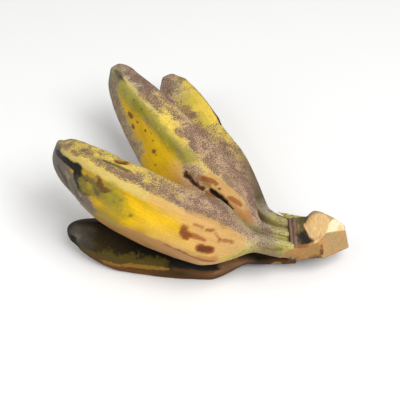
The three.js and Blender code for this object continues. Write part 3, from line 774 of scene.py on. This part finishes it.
# Marks: coat, strength, half width, soft edge and raggedness in mm, then (share, angle) along the mark.
BACK_MARKS = [
    ("pale_mauve", 0.8, 0.9, 0.9, 0.4, [(0.936, -62), (0.831, -45), (0.761, -40)]),
    ("umber", 0.8, 0.35, 0.4, 0.3, [(0.912, -40), (0.808, -36)]),
    ("dusk", 0.6, 1.6, 1.6, 1.2, [(0.936, -26), (0.852, -33)]),
    ("lemon", 0.85, 3, 3, 0.7, [(0.717, 12), (0.653, 21), (0.579, 14)]),
    ("green", 0.35, 2, 4, 1.6, [(0.767, -2), (0.71, 3)]),
    ("green", 0.35, 1.8, 4, 1.6, [(0.622, -4), (0.568, 0)]),
    ("dusk", 0.5, 1.6, 1.5, 1.6, [(0.707, -26), (0.633, -24)]),
    ("dusk", 0.5, 1.2, 1.5, 1.4, [(0.579, -21), (0.511, -20)]),
    ("black", 1, 0.7, 0.6, 0.2, [(0.541, 40)]),
    ("slate", 1, 1, 0.9, 0.3, [(0.9, 42), (0.8, 41), (0.7, 41), (0.6, 40), (0.54, 40)]),
]

# Reliefs: height, half width and soft edge in mm, then (share, angle) along the relief.
BACK_RELIEFS = [
    (1.6, 4, 9, [(0.86, 37), (0.73, 37), (0.62, 37)]),
    (-2, 0.6, 0.8, [(0.541, 40)]),
    (0.35, 0.6, 0.8, [(0.936, -62), (0.831, -45), (0.761, -40)]),
]

back_fruit = fruit_piece("back_fruit", BACK, COATS, BACK_SKIN, BACK_MARKS, BACK_RELIEFS, 7)
back_fruit.data.materials.append(skin_material("browned_skin", 0.5, 0.14))
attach(back_fruit, "root")
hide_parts("finger_back")

# ---------------------------------------------------------------- lower fruit
# The short fruit underneath, grown in one piece with its stalk. Over-ripe and dark on top, and painted near
# black there as the shade of the front fruit above it, with a yellow-brown belly that is pressed flat where
# the hand lies on it.

LOWER = {
    "root": np.array([61.0, -59.5, 12.4]),
    "stalk_length": 38.9, "stalk_radius": 5.6, "body_length": 109.8, "body_radius": 16.0,
    "shoulder": 25.7, "point": 36.0, "end_round": 1.15, "end_blunt": 2.12,
    "headings": [(187.7, 5.1), (178.5, 1.24), (171.8, 0.07), (162.5, 13.8)],
    "faces": [34, 106, 178, 250, 322], "neck_twist": 0, "tip_twist": 0,
}

# Rows along the fruit: share of the body from the stalk, then (angle round it, coat).
# Near black on top of the body: dark peel with painted shade from the front fruit lying over it.
LOWER_SKIN = [
    # By the root, peat on the stalk's front is painted shade under the crown's sliced front.
    (-0.35, [(-130, "peat"), (-60, "peat"), (0, "stalk_olive"), (100, "stalk_shade")]),
    (-0.12, [(-130, "night_olive"), (-60, "night"), (0, "night_olive"), (100, "night")]),
    (0, [(-140, "peat"), (-90, "ash_pink"), (-40, "night_olive"), (40, "night"), (130, "night")]),
    (0.12, [
        (-140, "peat"), (-95, "ash_pink"), (-60, "night_olive"), (-20, "night"), (60, "night"),
        (130, "night_olive"),
    ]),
    (0.3, [
        (-150, "peat"), (-100, "night_olive"), (-72, "night"), (-30, "night"), (60, "night"),
        (140, "night_olive"),
    ]),
    (0.55, [
        (-160, "peat"), (-100, "peat"), (-76, "night_olive"), (-58, "night"), (0, "night"), (60, "night"),
        (140, "night_olive"),
    ]),
    (0.8, [
        (-160, "peat"), (-105, "peat"), (-80, "night_olive"), (-62, "night_olive"), (0, "night"),
        (60, "night"), (140, "night_olive"),
    ]),
    (0.93, [
        (-160, "night"), (-100, "night_olive"), (-60, "tip_grey"), (0, "night_olive"), (60, "night_olive"),
        (140, "night_olive"),
    ]),
    (1, [(-120, "ink"), (0, "slate"), (120, "ink")]),
]

# Marks: coat, strength, half width, soft edge and raggedness in mm, then (share, angle) along the mark.
LOWER_MARKS = [
    ("moss", 0.85, 3.2, 3, 3.2, [(0.865, -114), (0.737, -84), (0.586, -78), (0.421, -80)]),
    ("ochre", 0.8, 1.2, 2, 2, [(0.729, -114), (0.59, -98), (0.394, -92)]),
    ("peat", 0.8, 1.6, 2, 1.5, [(0.33, -92), (0.199, -93), (0.112, -82)]),
    ("clay", 0.5, 1, 2, 0.6, [(0.733, -122), (0.62, -129), (0.485, -132)]),
    ("ink", 0.9, 2, 1.4, 1.2, [(0.94, -78), (0.921, -141)]),
    ("ink", 1, 2.2, 1.6, 1.4, [(0.33, -69), (0.199, -75)]),
    ("ink", 1, 2.6, 1.4, 1, [(0.199, -75), (0.112, -70)]),
    ("ash_pink", 0.6, 2.4, 2.5, 1.2, [(0.06, -70), (0.014, -66)]),
    ("tip_olive", 0.5, 2.2, 2, 1, [(0.056, -100), (0.011, -94)]),
    ("umber", 0.8, 0.45, 0.4, 0.3, [(0.417, -76)]),
    ("slate", 0.5, 1.6, 2, 1.2, [(0.883, -64), (0.816, -68)]),
]

# Reliefs: height, half width and soft edge in mm, then (share, angle) along the relief.
LOWER_RELIEFS = [
    (-0.5, 1.5, 1.6, [(0.94, -78), (0.921, -141)]),
]

lower_fruit = fruit_piece("lower_fruit", LOWER, COATS, LOWER_SKIN, LOWER_MARKS, LOWER_RELIEFS, 10)
lower_fruit.data.materials.append(skin_material("dark_and_shaded_skin", 0.62, 0.04))
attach(lower_fruit, "root")
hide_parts("finger_lower")

# ---------------------------------------------------------------- crown
# The pad that the stalks grow from and the block of bunch stem behind it, all one piece. It was cut from the
# bunch with a few knife strokes, which left flat, fibrous, cream to tan faces; the faces that turn downwards
# and the crown's lower part are painted dark brown as shade. Wrinkled brown skin rings the stalks.

PAD_MIDDLE = Vector((65.2, -59.5, 20.4))
PAD_HALF = Vector((10.9, 18.3, 13.6))
# Corners of the flesh that joins the pad's sliced front to the block.
WEB_CORNERS = [(68.2, -62.9, 34.7), (66.8, -69.1, 31.9), (73.2, -68.9, 37.0), (70.6, -71.0, 34.0),
               (76.2, -70.6, 21.5), (76.7, -70.4, 19.8), (68.6, -71.0, 21.5), (63.6, -71.4, 31.5),
               (64.2, -71.4, 21.2), (59.3, -72.2, 20.6), (75.0, -58.0, 25.0), (66.0, -58.0, 20.0)]
BLOCK_MIDDLE = Vector((79.8, -57.4, 23.5))
BLOCK_HALF = Vector((17.2, 21.15, 20.3))
# Knife cuts: the way each one faces, and its distance from the middle of the pad or the block.
FRONT_CUT = (Vector((0.48, -0.87, 0.12)), 9.5)
TOP_CUT = (Vector((0.51, -0.54, 0.67)), 15.7)
SLANT_CUT = (Vector((-0.61, -0.22, 0.76)), 16.8)
END_CUT = (Vector((0.97, 0.04, 0.23)), 12.3)
FAR_CUT = (Vector((0.51, 0.67, 0.54)), 11.6)
UNDER_CUT = (Vector((0.36, -0.64, -0.68)), 9.8)
HEEL_CUT = (Vector((-0.53, -0.59, -0.61)), 11.7)
TONGUE_CUT = (Vector((0.17, -0.74, -0.65)), 8.4)
CROWN_VOXEL = 0.45 * MM
STROKE_END = BLOCK_MIDDLE.x - 4  # the long knife stroke stops here


def cut_lump(middle, half, cuts, end_squareness, side_squareness):
    """A closed rounded lump with flat knife faces; squareness 2 is an ellipsoid, and more is boxier."""
    lump = bmesh.new()
    bmesh.ops.create_icosphere(lump, subdivisions=5, radius=1.0)
    for vert in lump.verts:
        across = abs(vert.co.y) ** side_squareness + abs(vert.co.z) ** side_squareness
        flat = across ** (1 / side_squareness)
        reach = (abs(vert.co.x) ** end_squareness + flat ** end_squareness) ** (1 / end_squareness)
        vert.co = Vector((vert.co.x * half.x, vert.co.y * half.y, vert.co.z * half.z)) / reach + middle
    for facing, distance in cuts:
        facing = facing.normalized()
        everything = [*lump.verts, *lump.edges, *lump.faces]
        cut = bmesh.ops.bisect_plane(lump, geom=everything, dist=1e-5, plane_co=middle + facing * distance,
                                     plane_no=facing, clear_outer=True)
        rim = [item for item in cut["geom_cut"] if isinstance(item, bmesh.types.BMEdge)]
        bmesh.ops.edgeloop_fill(lump, edges=rim)
    bmesh.ops.recalc_face_normals(lump, faces=lump.faces[:])
    return lump


whole = bpy.data.meshes.new("crown_lumps")
block_cuts = [FRONT_CUT, TOP_CUT, SLANT_CUT, END_CUT, FAR_CUT, UNDER_CUT, HEEL_CUT]
web = bmesh.new()
for corner in WEB_CORNERS:
    web.verts.new(corner)
bmesh.ops.convex_hull(web, input=web.verts[:])
for lump in (cut_lump(PAD_MIDDLE, PAD_HALF, [TONGUE_CUT], 8.0, 3.0), web,
             cut_lump(BLOCK_MIDDLE, BLOCK_HALF, block_cuts, 2.0, 2.0)):
    lump.from_mesh(whole)
    lump.to_mesh(whole)
    lump.free()
whole.transform(LYING @ Matrix.Scale(MM, 4))
rough_crown = bpy.data.objects.new("crown_lumps", whole)
bpy.context.collection.objects.link(rough_crown)
remesh = rough_crown.modifiers.new("one_skin", "REMESH")
remesh.mode = "VOXEL"
remesh.voxel_size = CROWN_VOXEL
joined = rough_crown.evaluated_get(bpy.context.evaluated_depsgraph_get())
crown_mesh = bpy.data.meshes.new_from_object(joined)
crown_mesh.name = "crown"
bpy.data.objects.remove(rough_crown)
softened = bmesh.new()
softened.from_mesh(crown_mesh)
for _ in range(3):
    bmesh.ops.smooth_vert(softened, verts=softened.verts[:], factor=0.5, use_axis_x=True, use_axis_y=True,
                          use_axis_z=True)
bmesh.ops.recalc_face_normals(softened, faces=softened.faces[:])
softened.to_mesh(crown_mesh)
softened.free()

# Where the coats lie, in mm, in the frame of the sizes above. The first value of a pair is where a coat has
# no strength yet, and the second is where it is full.
NECK_START = (60.2, 62.2)
COLLAR_END = (60.9, 59.9)
WRINKLE_END = (60.9, 60.0)
RING_END = (61.5, 60.0)
WRINKLE_START = 55.9
WRINKLE_STEP = 2.9
WRINKLE_WANDER = 0.35
BLACK_MIDDLE = [64.4, -65.5, 31.0]
BLACK_SHAPE = [1.0, 1.3, 1.1]
BLACK_EDGE = (7.0, 3.6)
FLESH_END = (77.5, 75.5)
SCORCH_HEIGHT = (30.0, 31.6)
SCORCH_END = (68.0, 64.0)
TONGUE_SHADE_HEIGHT = (24.0, 19.5)
BLOCK_START = (74.0, 77.0)
RAISED_HEIGHT = (34.6, 35.8)
BLOCK_FRONT_START = (73.0, 76.5)
STREAK_MIDDLE = [74.6, -70.5, 28.0]
STREAK_SHAPE = [0.9, 3.0, 7.0]
STREAK_EDGE = (1.3, 0.5)
FACE_GAP = (0.9, 0.35)
FACE_MATCH = (0.75, 0.92)
RING_HEIGHT = 0.4
FIBRE_HEIGHT = 0.14
BARK_DENTS = 0.25
GRIT_HEIGHT = 0.08

CROWN_COATS = {
    "collar": 0x826458, "collar_dark": 0x523A2E, "neck_skin": 0x8C8248, "neck_dark": 0x4E4628,
    "black": 0x221C16, "slant": 0xE4BE84, "bright": 0xF0DDB4, "front": 0xB09060, "tongue": 0xA27A44,
    "shaded_tongue": 0x4C3018, "end": 0xC4A070, "far": 0xC4A070, "shaded_under": 0x6E4A2C, "rust": 0x7C4624,
    "orange": 0xC88A44,
}
crown_colour = {name: linear(value) for name, value in CROWN_COATS.items()}
count = len(crown_mesh.vertices)
spots = np.empty(count * 3)
crown_mesh.vertices.foreach_get("co", spots)
normals = np.empty(count * 3)
crown_mesh.vertices.foreach_get("normal", normals)
normals = normals.reshape(-1, 3)
lying_back = np.array(LYING.inverted().to_3x3())
spots = (spots.reshape(-1, 3) - np.array(LYING.translation)) @ lying_back.T / MM
normals = normals @ lying_back.T


def off_plane(cut, middle):
    """How far each spot lies off a knife face, and how squarely it faces the same way."""
    facing = np.array(cut[0].normalized())
    return np.abs((spots - np.array(middle)) @ facing - cut[1]), normals @ facing


sliced = knife_depth(spots)
sliced[spots[:, 0] > STROKE_END] = 0.0
spots[:, 1] += np.maximum(sliced, 0)
coarse = speckle_field(spots, 7.0, 21)
medium = speckle_field(spots, 2.6, 22)
fine = speckle_field(spots, 0.9, 23)
fibres = speckle_field(spots / [1, 4, 1], 1.1, 24)
shade = np.tile(crown_colour["neck_skin"], (count, 1))


def lay_on(ground, name, cover):
    """The ground colours with a coat laid over them."""
    cover = np.clip(cover, 0, 1)[:, None]
    return ground * (1 - cover) + crown_colour[name] * cover


def face_cover(cut, middle):
    gap, facing = off_plane(cut, middle)
    return soft_step(gap, *FACE_GAP) * soft_step(facing, *FACE_MATCH)


x, y, z = spots.T
shade = lay_on(shade, "neck_dark", soft_step(x + medium, *NECK_START) * 0.9)
shade = lay_on(shade, "collar", soft_step(x, *COLLAR_END) * 0.9)
wrinkle = np.cos((x + WRINKLE_WANDER * medium - WRINKLE_START) / WRINKLE_STEP * 2 * math.pi)
shade = lay_on(shade, "collar_dark", soft_step(wrinkle, 0.0, -1.0) * soft_step(x, *WRINKLE_END) * 0.85)
black_reach = np.linalg.norm((spots - BLACK_MIDDLE) / BLACK_SHAPE, axis=1)
shade = lay_on(shade, "black", soft_step(black_reach + 1.2 * medium, *BLACK_EDGE))
front_flesh = soft_step(np.interp(x, KNIFE_X, KNIFE_Y) + 0.9 - y, -0.2, 0.4) * soft_step(x, *FLESH_END)
shade = lay_on(shade, "tongue", front_flesh)
shade = lay_on(shade, "orange", front_flesh * soft_step(coarse, 0.0, 0.6) * 0.6)
scorched = soft_step(z + 0.6 * medium, *SCORCH_HEIGHT) * soft_step(x, *SCORCH_END)
shade = lay_on(shade, "rust", front_flesh * scorched * 0.7)
# Painted shade: the crown turns dark brown towards its bottom, under the sliced tongue.
shade = lay_on(shade, "shaded_tongue", soft_step(z + 0.8 * coarse, *TONGUE_SHADE_HEIGHT) * 0.9)
on_block = np.maximum(soft_step(x, *BLOCK_START), soft_step(z, *RAISED_HEIGHT))
shade = lay_on(shade, "far", on_block * soft_step(normals[:, 2], -0.1, 0.3))
# Painted shade: the block's faces that turn downwards are dark brown.
shade = lay_on(shade, "shaded_under", on_block * soft_step(normals[:, 2], 0.0, -0.4))
faces_front = soft_step(normals @ np.array(FRONT_CUT[0].normalized()), *FACE_MATCH)
block_front = faces_front * soft_step(x, *BLOCK_FRONT_START)
shade = lay_on(shade, "front", block_front)
cut_cover = np.maximum(np.maximum(front_flesh, on_block * 0.6), block_front)
# The under cut, which faces downwards, gets the same dark brown painted shade.
for name, cut in (("front", FRONT_CUT), ("shaded_under", UNDER_CUT), ("slant", SLANT_CUT), ("bright", TOP_CUT),
                  ("end", END_CUT), ("far", FAR_CUT)):
    cover = face_cover(cut, BLOCK_MIDDLE)
    cut_cover = np.maximum(cut_cover, cover)
    shade = lay_on(shade, name, cover)
streak = np.linalg.norm((spots - STREAK_MIDDLE) / STREAK_SHAPE, axis=1)
shade = lay_on(shade, "rust", soft_step(streak + 0.4 * medium, *STREAK_EDGE) * 0.75)
shade = lay_on(shade, "orange", cut_cover * soft_step(coarse + 0.4 * medium, 0.25, 0.8) * 0.45)
shade *= (1 + 0.07 * medium + 0.05 * fine)[:, None]
rings = RING_HEIGHT * wrinkle * soft_step(x, *RING_END) * (1 - cut_cover)
lift = rings + FIBRE_HEIGHT * fibres * cut_cover + BARK_DENTS * coarse * (1 - cut_cover) + GRIT_HEIGHT * fine
spots = spots + normals * lift[:, None]
spots = spots * MM @ np.array(LYING.to_3x3()).T + np.array(LYING.translation)
crown_mesh.vertices.foreach_set("co", spots.ravel())
crown_mesh.polygons.foreach_set("use_smooth", [True] * len(crown_mesh.polygons))
crown_mesh.attributes.new("paint", "FLOAT_COLOR", "POINT").data.foreach_set(
    "color", np.column_stack([np.clip(shade, 0, 1), np.ones(count)]).ravel())
crown_mesh.attributes.new("cut", "FLOAT", "POINT").data.foreach_set("value", cut_cover)
crown = bpy.data.objects.new("cut_crown", crown_mesh)
bpy.context.collection.objects.link(crown)

STAIN_ORANGE = (0.50, 0.25, 0.09, 1.0)
SPECK_BROWN = (0.09, 0.05, 0.03, 1.0)
graph = SkinGraph("crown_flesh")
place = graph.place()
fibre = graph.noise(graph.stretched(place, (1.0, 0.25, 1.0)), 900.0, 4.0, 0.65)
blotch = graph.noise(place, 170.0, 3.0, 0.6)
grit = graph.noise(place, 1300.0, 2.0, 0.6)
is_cut = graph.attribute("cut", "Fac")
ground = graph.node("ShaderNodeVectorMath", {0: graph.attribute("paint", "Color")}, operation="SCALE")
graph.put(ground.inputs["Scale"], graph.between(fibre, 0.25, 0.75, 0.86, 1.12, smooth=False))
staining = graph.between(is_cut, 0.0, 1.0, 0.15, 0.55)
stained = graph.math("MULTIPLY", graph.between(blotch, 0.54, 0.70), staining)
colour = graph.mix(stained, ground.outputs[0], STAIN_ORANGE)
speckling = graph.between(is_cut, 0.0, 1.0, 0.75, 0.12)
specks = graph.math("MULTIPLY", graph.between(grit, 0.60, 0.68), speckling)
colour = graph.mix(specks, colour, SPECK_BROWN)
graph.put(graph.shader.inputs["Base Color"], colour)
graph.shader.inputs["Roughness"].default_value = 0.68
graph.shader.inputs["Specular IOR Level"].default_value = 0.25
graph.bump(graph.math("ADD", fibre, graph.math("MULTIPLY", grit, 0.4)), 0.6, 0.5 * MM)
crown_mesh.materials.append(graph.material)
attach(crown, "root")
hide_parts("crown")

# ---------------------------------------------------------------- torn stub
# What is left of a fifth stalk, torn off beside the back one: a thin sliver with a ragged, dried point. It is
# green stalk flesh with brown flecks, and its root is grown into the crown.

STUB_LENGTH = 17.5
STUB_HALF_WIDTH = 4.2
STUB_HALF_THICKNESS = 2.9
STUB_TURN = math.radians(16)
STUB_RISE = math.radians(16)
STUB_ROOT = Vector((65.3, -46.95, 27.8))
STUB_TEAR_SEED = 3  # the tear is drawn from seeded noise
STUB_POINT = 0.04  # width of its point, as a share of its root
STUB_AROUND = 24
STUB_ALONG = 24
STALK_GREEN = (0.30, 0.29, 0.07, 1.0)
STALK_YELLOW = (0.52, 0.46, 0.13, 1.0)
FLECK_BROWN = (0.14, 0.075, 0.045, 1.0)

sliver = bmesh.new()
bmesh.ops.create_cone(sliver, cap_ends=True, segments=STUB_AROUND, radius1=1.0, radius2=STUB_POINT,
                      depth=1.0,
                      matrix=Matrix.Rotation(-math.pi / 2, 4, "Y") @ Matrix.Translation((0.0, 0.0, 0.5)))
bmesh.ops.subdivide_edges(sliver, edges=[edge for edge in sliver.edges
                                         if abs(edge.verts[0].co.x - edge.verts[1].co.x) > 0.5],
                          cuts=STUB_ALONG)
bmesh.ops.triangulate(sliver, faces=[face for face in sliver.faces if len(face.verts) > 4])
stub_turn = Matrix.Rotation(-STUB_TURN, 3, "Z") @ Matrix.Rotation(STUB_RISE, 3, "Y")
noise.seed_set(STUB_TEAR_SEED)
for vert in sliver.verts:
    local = Vector((vert.co.x * STUB_LENGTH, vert.co.y * STUB_HALF_WIDTH, vert.co.z * STUB_HALF_THICKNESS))
    torn = noise.noise_vector(local / 2.2) * 0.5 + noise.noise_vector(local / 0.8) * 0.15
    vert.co = LYING @ ((stub_turn @ (local + torn) + STUB_ROOT) * MM)
bmesh.ops.recalc_face_normals(sliver, faces=sliver.faces[:])
stub_mesh = bpy.data.meshes.new("torn_stub")
sliver.to_mesh(stub_mesh)
sliver.free()
stub_mesh.polygons.foreach_set("use_smooth", [True] * len(stub_mesh.polygons))
stub = bpy.data.objects.new("torn_sliver", stub_mesh)
bpy.context.collection.objects.link(stub)

graph = SkinGraph("stalk_green")
place = graph.place()
streak = graph.noise(graph.stretched(place, (0.2, 1.0, 1.0)), 700.0, 3.0, 0.6)
fleck = graph.noise(place, 480.0, 3.0, 0.6)
colour = graph.mix(graph.between(streak, 0.35, 0.65), STALK_GREEN, STALK_YELLOW)
colour = graph.mix(graph.between(fleck, 0.53, 0.60, 0.0, 0.8), colour, FLECK_BROWN)
graph.put(graph.shader.inputs["Base Color"], colour)
graph.shader.inputs["Roughness"].default_value = 0.62
graph.shader.inputs["Specular IOR Level"].default_value = 0.3
graph.bump(graph.math("ADD", streak, fleck), 0.5, 0.4 * MM)
stub_mesh.materials.append(graph.material)
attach(stub, "root")
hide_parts("torn_stub")
